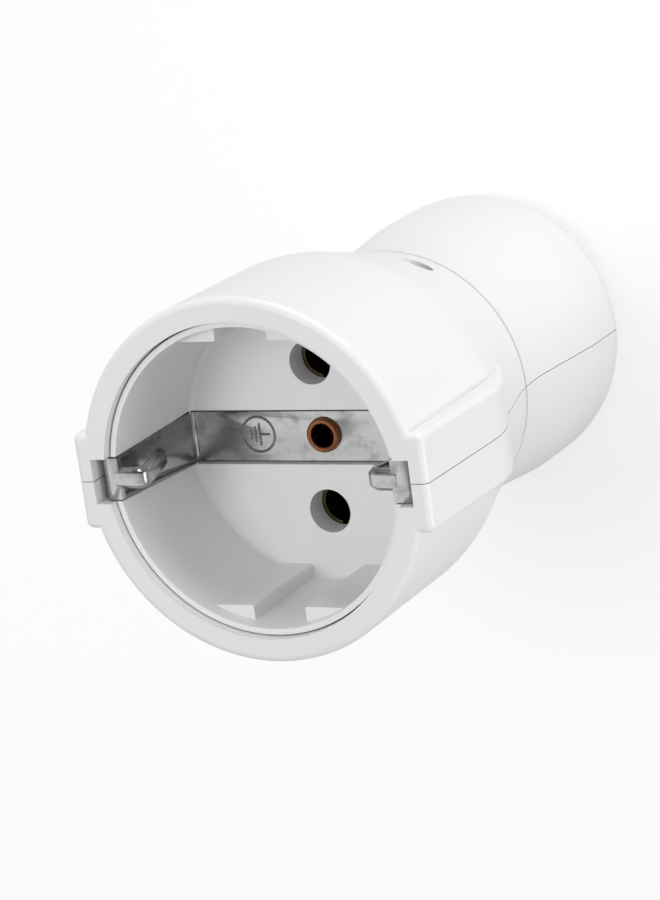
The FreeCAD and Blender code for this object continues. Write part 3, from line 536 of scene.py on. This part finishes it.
@dataclass
class MachineScrews:
    """Slotted cheese-head screws with a cut thread, all made from one recipe."""

    finish: bpy.types.Material
    pitch_mm: float = 0.5
    thread_mm: float = 0.27
    chamfer_mm: float = 0.18
    slot_width_mm: float = 0.8
    slot_depth_mm: float = 0.7
    bare_pitches: float = 2.4  # length of the shank without a thread, in pitches
    root_share: float = 0.3  # how far the thread's middle lies outside the core, in thread depths
    flank_share: float = 0.7  # half height of the thread's profile, in thread depths
    shank_sides: int = 40
    head_sides: int = 64
    upright: float = 0.9  # only the blank's top face looks upwards by more than this

    def __post_init__(self) -> None:
        """Build the tree of a screw along Z, with the underside of its head at the origin."""
        self.recipe = Recipe("slotted_screw", {
            "Shank Radius": 1.5 * MM, "Shank Length": 8 * MM,
            "Head Radius": 2.6 * MM, "Head Height": 1.5 * MM,
            "Pitch": self.pitch_mm * MM, "Thread Depth": self.thread_mm * MM,
            "Chamfer": self.chamfer_mm * MM,
            "Slot Width": self.slot_width_mm * MM, "Slot Depth": self.slot_depth_mm * MM,
        })
        self.recipe.finish([*self.shank(), self.head()])

    def shank(self) -> list[Any]:
        """Build the shank's core and the thread around it.

        Returns:
            The output sockets of the two.
        """
        out, sizes = self.recipe.out, self.recipe.inputs
        length, pitch, depth = sizes["Shank Length"], sizes["Pitch"], sizes["Thread Depth"]
        core_radius = out("ShaderNodeMath", {0: sizes["Shank Radius"], 1: depth}, operation="SUBTRACT")
        core = out("GeometryNodeMeshCylinder", {
            "Vertices": self.shank_sides, "Radius": core_radius, "Depth": length,
        })
        bare = out("ShaderNodeMath", {0: pitch, 1: self.bare_pitches}, operation="MULTIPLY")
        threaded = out("ShaderNodeMath", {0: length, 1: bare}, operation="SUBTRACT")
        turns = out("ShaderNodeMath", {0: threaded, 1: pitch}, operation="DIVIDE")
        root = out("ShaderNodeMath", {0: depth, 1: self.root_share}, operation="MULTIPLY")
        root_radius = out("ShaderNodeMath", {0: core_radius, 1: root}, operation="ADD")
        helix = out("GeometryNodeCurveSpiral", {
            "Resolution": self.shank_sides, "Rotations": turns,
            "Start Radius": root_radius, "End Radius": root_radius, "Height": threaded,
        })
        flank = out("ShaderNodeMath", {0: depth, 1: self.flank_share}, operation="MULTIPLY")
        profile = out("GeometryNodeCurvePrimitiveCircle", {"Resolution": 4, "Radius": flank})
        thread = out("GeometryNodeCurveToMesh", {
            "Curve": helix, "Profile Curve": profile, "Fill Caps": True,
        })
        middle = out("ShaderNodeMath", {0: length, 1: -0.5}, operation="MULTIPLY")
        tip = out("ShaderNodeMath", {0: length, 1: -1.0}, operation="MULTIPLY")
        first_turn = out("ShaderNodeMath", {0: tip, 1: pitch}, operation="ADD")
        return [
            out("GeometryNodeTransform", {
                "Geometry": shape, "Translation": out("ShaderNodeCombineXYZ", {2: height}),
            })
            for shape, height in ((core, middle), (thread, first_turn))
        ]

    def head(self) -> Any:
        """Build the chamfered head with its driver slot.

        Returns:
            The head's output socket.
        """
        out, sizes = self.recipe.out, self.recipe.inputs
        radius, height, chamfer = sizes["Head Radius"], sizes["Head Height"], sizes["Chamfer"]
        lower = out("ShaderNodeMath", {0: height, 1: chamfer}, operation="SUBTRACT")
        blank = out("GeometryNodeMeshCylinder", {
            "Vertices": self.head_sides, "Radius": radius, "Depth": lower,
        })
        upward = out("ShaderNodeSeparateXYZ", {0: out("GeometryNodeInputNormal")}, output="Z")
        top = out("FunctionNodeCompare", {
            0: upward, 1: self.upright,
        }, data_type="FLOAT", operation="GREATER_THAN")
        raised = add_node(self.recipe.tree, "GeometryNodeExtrudeMesh", {
            "Mesh": blank, "Selection": top, "Offset Scale": chamfer, "Individual": False,
        }, mode="FACES").outputs
        inner = out("ShaderNodeMath", {0: radius, 1: chamfer}, operation="SUBTRACT")
        shrink = out("ShaderNodeMath", {0: inner, 1: radius}, operation="DIVIDE")
        cheese = out("GeometryNodeScaleElements", {
            "Geometry": raised["Mesh"], "Selection": raised["Top"], "Scale": shrink,
        })
        # The block that cuts the slot reaches past the head on both sides. Its middle lies in the
        # head's top face, so it's twice as deep as the slot.
        reach = out("ShaderNodeMath", {0: radius, 1: 4.0}, operation="MULTIPLY")
        deep = out("ShaderNodeMath", {0: sizes["Slot Depth"], 1: 2.0}, operation="MULTIPLY")
        block = out("GeometryNodeMeshCube", {
            "Size": out("ShaderNodeCombineXYZ", {0: reach, 1: sizes["Slot Width"], 2: deep}),
        })
        middle = out("ShaderNodeMath", {0: lower, 1: 0.5}, operation="MULTIPLY")
        solid, cutter = (
            out("GeometryNodeTransform", {
                "Geometry": shape, "Translation": out("ShaderNodeCombineXYZ", {2: lift}),
            })
            for shape, lift in ((cheese, middle), (block, height))
        )
        return out("GeometryNodeMeshBoolean", {
            "Mesh 1": solid, "Mesh 2": cutter,
        }, operation="DIFFERENCE", solver="EXACT")

    def fit(self, name: str, facing: Facing, size: ScrewSize) -> None:
        """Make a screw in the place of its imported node.

        Args:
            name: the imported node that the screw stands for.
            facing: the way that its head looks.
            size: its shank and head.
        """
        low, high = (Vector(corner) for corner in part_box(name))
        along = Vector(facing.value)
        half = abs((high - low).dot(along)) / 2
        head = size.head_height * MM
        under_head = (low + high) / 2 + along * (half - head)
        turn = along.to_track_quat("Z", "Y").to_matrix().to_4x4()
        place = Matrix.Translation(under_head) @ turn
        screw = self.recipe.make(name + "_threaded", self.finish, place, {
            "Shank Radius": size.shank_radius * MM,
            "Shank Length": 2 * half - head,
            "Head Radius": (high.z - low.z) / 2,
            "Head Height": head,
        })
        seat(screw, "screw_steel", name)


@dataclass
class SubAssembly:
    """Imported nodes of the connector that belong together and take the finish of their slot."""

    finishes: dict[str, bpy.types.Material]
    nodes: tuple[str, ...]

    def dress(self) -> None:
        """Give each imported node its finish."""
        slots = {row["node"]: row["material_slot"] for row in frame["record"]["subparts"]}
        for name in self.nodes:
            material = self.finishes[slots[name]]
            mesh = frame["nodes"][name].data
            mesh.materials.clear()
            mesh.materials.append(material)
            LOG.info("%s: %s", name, material.name)


@dataclass
class Handle(SubAssembly):
    """The cover and the base of the handle, with the screws and captive nuts that join them."""

    nodes: tuple[str, ...] = ("cover_shell", "base_shell", "left_shell_nut", "right_shell_nut")
    screw: ScrewSize = ScrewSize(shank_radius=1.3, head_height=1.6)

    def build(self, screws: MachineScrews) -> None:
        """Dress the shells and nuts and put the screws in.

        Args:
            screws: the maker of screws.
        """
        self.dress()
        for name in ("left_shell_screw", "right_shell_screw"):
            screws.fit(name, Facing.COVER, self.screw)


@dataclass
class ContactInsert(SubAssembly):
    """The keyed cup with the sleeves, springs and terminal screws that it holds."""

    nodes: tuple[str, ...] = (
        "socket_insert", "contact_retainer", "cover_contact_sleeve", "base_contact_sleeve",
        "cover_sleeve_spring", "base_sleeve_spring",
    )
    screw: ScrewSize = ScrewSize(shank_radius=1.5, head_height=1.5)

    def build(self, screws: MachineScrews) -> None:
        """Dress the cup and its contacts and put the terminal screws in.

        Args:
            screws: the maker of screws.
        """
        self.dress()
        screws.fit("cover_terminal_screw", Facing.COVER, self.screw)
        screws.fit("base_terminal_screw", Facing.BASE, self.screw)


@dataclass
class CableClamp(SubAssembly):
    """The arched bar over the cable, with its two screws."""

    nodes: tuple[str, ...] = ("cable_clamp_bar",)
    screw: ScrewSize = ScrewSize(shank_radius=1.45, head_height=1.7)

    def build(self, screws: MachineScrews) -> None:
        """Dress the bar and put its screws in.

        Args:
            screws: the maker of screws.
        """
        self.dress()
        for name in ("left_clamp_screw", "right_clamp_screw"):
            screws.fit(name, Facing.COVER, self.screw)


@dataclass
class EarthContact(SubAssembly):
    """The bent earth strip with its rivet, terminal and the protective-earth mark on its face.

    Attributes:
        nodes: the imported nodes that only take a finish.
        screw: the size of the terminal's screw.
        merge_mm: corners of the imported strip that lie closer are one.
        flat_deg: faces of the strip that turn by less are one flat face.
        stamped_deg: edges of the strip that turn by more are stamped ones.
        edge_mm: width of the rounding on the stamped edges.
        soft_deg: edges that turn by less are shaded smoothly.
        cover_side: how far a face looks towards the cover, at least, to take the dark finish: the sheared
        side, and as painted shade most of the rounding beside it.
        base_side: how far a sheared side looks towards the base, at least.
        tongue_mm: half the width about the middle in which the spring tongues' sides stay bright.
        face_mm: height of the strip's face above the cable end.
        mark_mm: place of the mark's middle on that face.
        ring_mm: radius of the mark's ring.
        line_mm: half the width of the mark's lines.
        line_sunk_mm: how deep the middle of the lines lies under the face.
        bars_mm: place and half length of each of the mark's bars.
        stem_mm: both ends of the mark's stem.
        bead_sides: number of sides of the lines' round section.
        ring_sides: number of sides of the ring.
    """

    nodes: tuple[str, ...] = ("earth_eyelet", "earth_terminal")
    screw: ScrewSize = ScrewSize(shank_radius=1.5, head_height=1.5)
    merge_mm: float = 0.001
    flat_deg: float = 0.4
    stamped_deg: float = 50.0
    edge_mm: float = 0.15
    soft_deg: float = 40.0
    cover_side: float = 0.3
    base_side: float = 0.9
    tongue_mm: float = 2.2
    face_mm: float = 54.0
    mark_mm: tuple[float, float] = (-9.1, 0.1)
    ring_mm: float = 2.25
    line_mm: float = 0.16
    line_sunk_mm: float = 0.016
    bars_mm: tuple[tuple[float, float], ...] = ((-1.0, 0.6), (-0.4, 1.0), (0.2, 1.4))
    stem_mm: tuple[float, float] = (0.2, 1.55)
    bead_sides: int = 12
    ring_sides: int = 72

    def build(self, screws: MachineScrews) -> None:
        """Dress the rivet and terminal, and make the strip, its mark and its screw.

        Args:
            screws: the maker of screws.
        """
        self.dress()
        screws.fit("earth_terminal_screw", Facing.RIGHT, self.screw)
        seat(self.softened_strip(), "strip_steel", "earth_strip")
        seat(self.earth_mark(), "strip_steel")

    def softened_strip(self) -> bpy.types.Object:
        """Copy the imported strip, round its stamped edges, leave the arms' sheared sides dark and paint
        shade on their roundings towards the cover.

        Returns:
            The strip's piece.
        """
        mesh = frame["nodes"]["earth_strip"].data.copy()
        mesh.name = "stamped_earth_strip"
        work = bmesh.new()
        work.from_mesh(mesh)
        bmesh.ops.remove_doubles(work, verts=work.verts, dist=self.merge_mm * MM)
        bmesh.ops.dissolve_limit(
            work, angle_limit=math.radians(self.flat_deg), verts=work.verts, edges=work.edges,
        )
        least = math.radians(self.stamped_deg)
        edges = [edge for edge in work.edges if edge.is_manifold and edge.calc_face_angle() > least]
        bmesh.ops.bevel(
            work, geom=edges, offset=self.edge_mm * MM, segments=2, profile=0.5, affect="EDGES",
            clamp_overlap=True,
        )
        work.to_mesh(mesh)
        work.free()
        mesh.materials.clear()
        mesh.materials.append(self.finishes["strip_steel"])
        mesh.materials.append(SHEARED_EDGE_AND_SHADE.build())
        # Painted shade: towards the cover a looser slant lets the dark take in the rounding as well.
        for face in mesh.polygons:
            sheared_or_shaded = face.normal.y > self.cover_side or face.normal.y < -self.base_side
            face.material_index = int(sheared_or_shaded and abs(face.center.y) > self.tongue_mm * MM)
        smooth(mesh, sharp_from_deg=self.soft_deg)
        return add_object("stamped_earth_strip", mesh)

    def earth_mark(self) -> bpy.types.Object:
        """Raise the generic earth sign in its ring on the strip's face.

        Returns:
            The mark's piece.
        """
        recipe = Recipe("earth_mark", {"Ring": self.ring_mm * MM, "Line": self.line_mm * MM})
        bead, ring = (
            recipe.out("GeometryNodeCurvePrimitiveCircle", {
                "Resolution": sides, "Radius": recipe.inputs[radius],
            })
            for sides, radius in ((self.bead_sides, "Line"), (self.ring_sides, "Ring"))
        )
        strokes = [((x, -half), (x, half)) for x, half in self.bars_mm]
        strokes.append(((self.stem_mm[0], 0.0), (self.stem_mm[1], 0.0)))
        curves = [ring]
        for start, end in strokes:
            curves.append(recipe.out("GeometryNodeCurvePrimitiveLine", {
                "Start": (start[0] * MM, start[1] * MM, 0), "End": (end[0] * MM, end[1] * MM, 0),
            }))
        recipe.finish([
            recipe.out("GeometryNodeCurveToMesh", {
                "Curve": curve, "Profile Curve": bead, "Fill Caps": True,
            })
            for curve in curves
        ])
        height = self.face_mm * MM - self.line_sunk_mm * MM
        place = Matrix.Translation((self.mark_mm[0] * MM, self.mark_mm[1] * MM, height))
        return recipe.make("protective_earth_mark", MARK_RELIEF.build(), place, {})


@dataclass(frozen=True)
class SoftLamp:
    """A round soft lamp that looks at the connector's middle.

    Attributes:
        name: the lamp's name.
        place_mm: its middle, beside the lying connector.
        width_mm: its diameter.
        watts: its power.
        low: whether it stands so low over the floor that its plane would cut the floor into a
            light and a grey part. Then it doesn't light the floor.
        mirrored: whether glossy surfaces show it.
    """

    name: str
    place_mm: Triple
    width_mm: float
    watts: float
    low: bool
    mirrored: bool


@dataclass
class Studio:
    """The pale floor, the soft light and the camera of the photograph.

    Attributes:
        floor_size_mm: length of the floor's sides.
        sky_slope: how fast the light on dull surfaces grows along X, Y and Z.
        sky_level: that light where it neither grows nor falls.
        room_slope: the way in which the room that metal mirrors grows brighter.
        room_ends: values along that way where the room is darkest and brightest.
        room_levels: its darkest and its brightest light.
        horizon: the even white that the camera sees behind the floor.
        lamps: the soft lamps.
        camera_mm: the camera's place, beside the lying connector.
        azimuth_deg: how far the camera looks to the left of the axis.
        elevation_deg: how far it looks down.
        roll_deg: how far its right side is turned down.
        lens: its focal length in millimetres.
        clip_mm: distance from which it sees.
    """

    floor_size_mm: float = 8000.0
    sky_slope: Triple = (0.05, 0.15, 0.14)
    sky_level: float = 0.38
    room_slope: Triple = (-0.45, -0.75, 0.25)
    room_ends: tuple[float, float] = (-0.35, 0.55)
    room_levels: tuple[float, float] = (0.12, 1.05)
    horizon: float = 1.0
    lamps: tuple[SoftLamp, ...] = (
        SoftLamp("overhead", (60, 40, 420), 260, 1.02, low=True, mirrored=True),
        SoftLamp("window", (400, 12, -50), 260, 0.80, low=True, mirrored=True),
        SoftLamp("front", (-70, -430, 80), 220, 0.66, low=False, mirrored=False),
    )
    camera_mm: Triple = (171.74, -293.37, 92.27)
    azimuth_deg: float = 28.64
    elevation_deg: float = 14.78
    roll_deg: float = 7.86
    lens: float = 120.0
    clip_mm: float = 10.0

    def build(self) -> None:
        """Set floor, world, lamps and camera into the scene."""
        floor = self.build_floor()
        self.build_world()
        self.build_lamps(floor)
        self.build_camera()

    def build_floor(self) -> bpy.types.Object:
        """Lay the paper floor.

        Returns:
            The floor.
        """
        half = self.floor_size_mm * MM / 2
        corners = [(-half, -half, 0), (half, -half, 0), (half, half, 0), (-half, half, 0)]
        mesh = bpy.data.meshes.new("floor")
        mesh.from_pydata(corners, [], [(0, 1, 2, 3)])
        mesh.materials.append(PAPER.build())
        floor = add_object("floor", mesh)
        return floor

    def build_world(self) -> None:
        """Light the scene from all round, most from above, with a darker room in reflections."""
        world = bpy.data.worlds.new("studio")
        bpy.context.scene.world = world
        world.use_nodes = True
        tree = world.node_tree
        tree.nodes.clear()
        direction = add_node(tree, "ShaderNodeTexCoord").outputs["Generated"]
        rays = add_node(tree, "ShaderNodeLightPath").outputs
        to_sky, to_room = (
            add_node(tree, "ShaderNodeVectorMath", {
                0: direction, 1: slope,
            }, operation="DOT_PRODUCT").outputs["Value"]
            for slope in (self.sky_slope, self.room_slope)
        )
        sky = add_node(tree, "ShaderNodeMath", {0: to_sky, 1: self.sky_level}, operation="ADD")
        (dark_end, bright_end), (dark, bright) = self.room_ends, self.room_levels
        room = add_node(tree, "ShaderNodeMapRange", {
            "Value": to_room, "From Min": dark_end, "From Max": bright_end,
            "To Min": dark, "To Max": bright,
        })
        level = add_node(tree, "ShaderNodeMix", {
            "Factor": rays["Is Glossy Ray"], "A": sky.outputs[0], "B": room.outputs["Result"],
        }, data_type="FLOAT")
        strength = add_node(tree, "ShaderNodeMix", {
            "Factor": rays["Is Camera Ray"], "A": level.outputs["Result"], "B": self.horizon,
        }, data_type="FLOAT")
        shader = add_node(tree, "ShaderNodeBackground", {
            "Color": linear("FFFFFF"), "Strength": strength.outputs["Result"],
        })
        add_node(tree, "ShaderNodeOutputWorld", {"Surface": shader.outputs["Background"]})

    def build_lamps(self, floor: bpy.types.Object) -> None:
        """Hang the soft lamps, which the camera doesn't see.

        Args:
            floor: the floor, which the low lamps leave out.
        """
        spared = bpy.data.collections.new("floor_spared_by_low_lamps")
        spared.objects.link(floor)
        spared.collection_objects[0].light_linking.link_state = "EXCLUDE"
        aim = LYING_TO_STANDING @ (Vector((0, LENGTH_MM / 2, 0)) * MM)
        for soft in self.lamps:
            light = bpy.data.lights.new(soft.name, "AREA")
            light.shape = "DISK"
            light.size = soft.width_mm * MM
            light.energy = soft.watts
            lamp = add_object(soft.name, light)
            lamp.visible_camera = False
            lamp.visible_glossy = soft.mirrored
            if soft.low:
                lamp.light_linking.receiver_collection = spared
            lamp.location = LYING_TO_STANDING @ (Vector(soft.place_mm) * MM)
            lamp.rotation_mode = "QUATERNION"
            lamp.rotation_quaternion = (aim - lamp.location).to_track_quat("-Z", "Y")

    def build_camera(self) -> None:
        """Set the camera where the photograph was taken from."""
        angles = (self.azimuth_deg, self.elevation_deg, self.roll_deg)
        turn, tilt, roll = (math.radians(angle) for angle in angles)
        ahead = Vector((
            -math.sin(turn) * math.cos(tilt), math.cos(turn) * math.cos(tilt), -math.sin(tilt),
        ))
        right = ahead.cross(Vector((0, 0, 1))).normalized()
        up = right.cross(ahead)
        image_right = math.cos(roll) * right - math.sin(roll) * up
        image_up = math.sin(roll) * right + math.cos(roll) * up
        camera = add_object("camera", bpy.data.cameras.new("camera"))
        camera.data.lens = self.lens
        camera.data.clip_start = self.clip_mm * MM
        axes = Matrix((image_right, image_up, -ahead)).transposed()
        lying = Matrix.Translation(Vector(self.camera_mm) * MM) @ axes.to_4x4()
        camera.matrix_world = LYING_TO_STANDING @ lying
        bpy.context.scene.camera = camera


def main() -> None:
    """Build the studio, the finishes and the connector's sub-assemblies."""
    logging.basicConfig(level=logging.INFO)
    bpy.context.scene.view_settings.view_transform = "Standard"
    Studio().build()
    finishes = {slot: finish.build() for slot, finish in FINISHES.items()}
    screws = MachineScrews(finishes["screw_steel"])
    for part in (Handle(finishes), ContactInsert(finishes), CableClamp(finishes), EarthContact(finishes)):
        LOG.info("%s", type(part).__name__)
        part.build(screws)


if __name__ == "__main__":
    main()
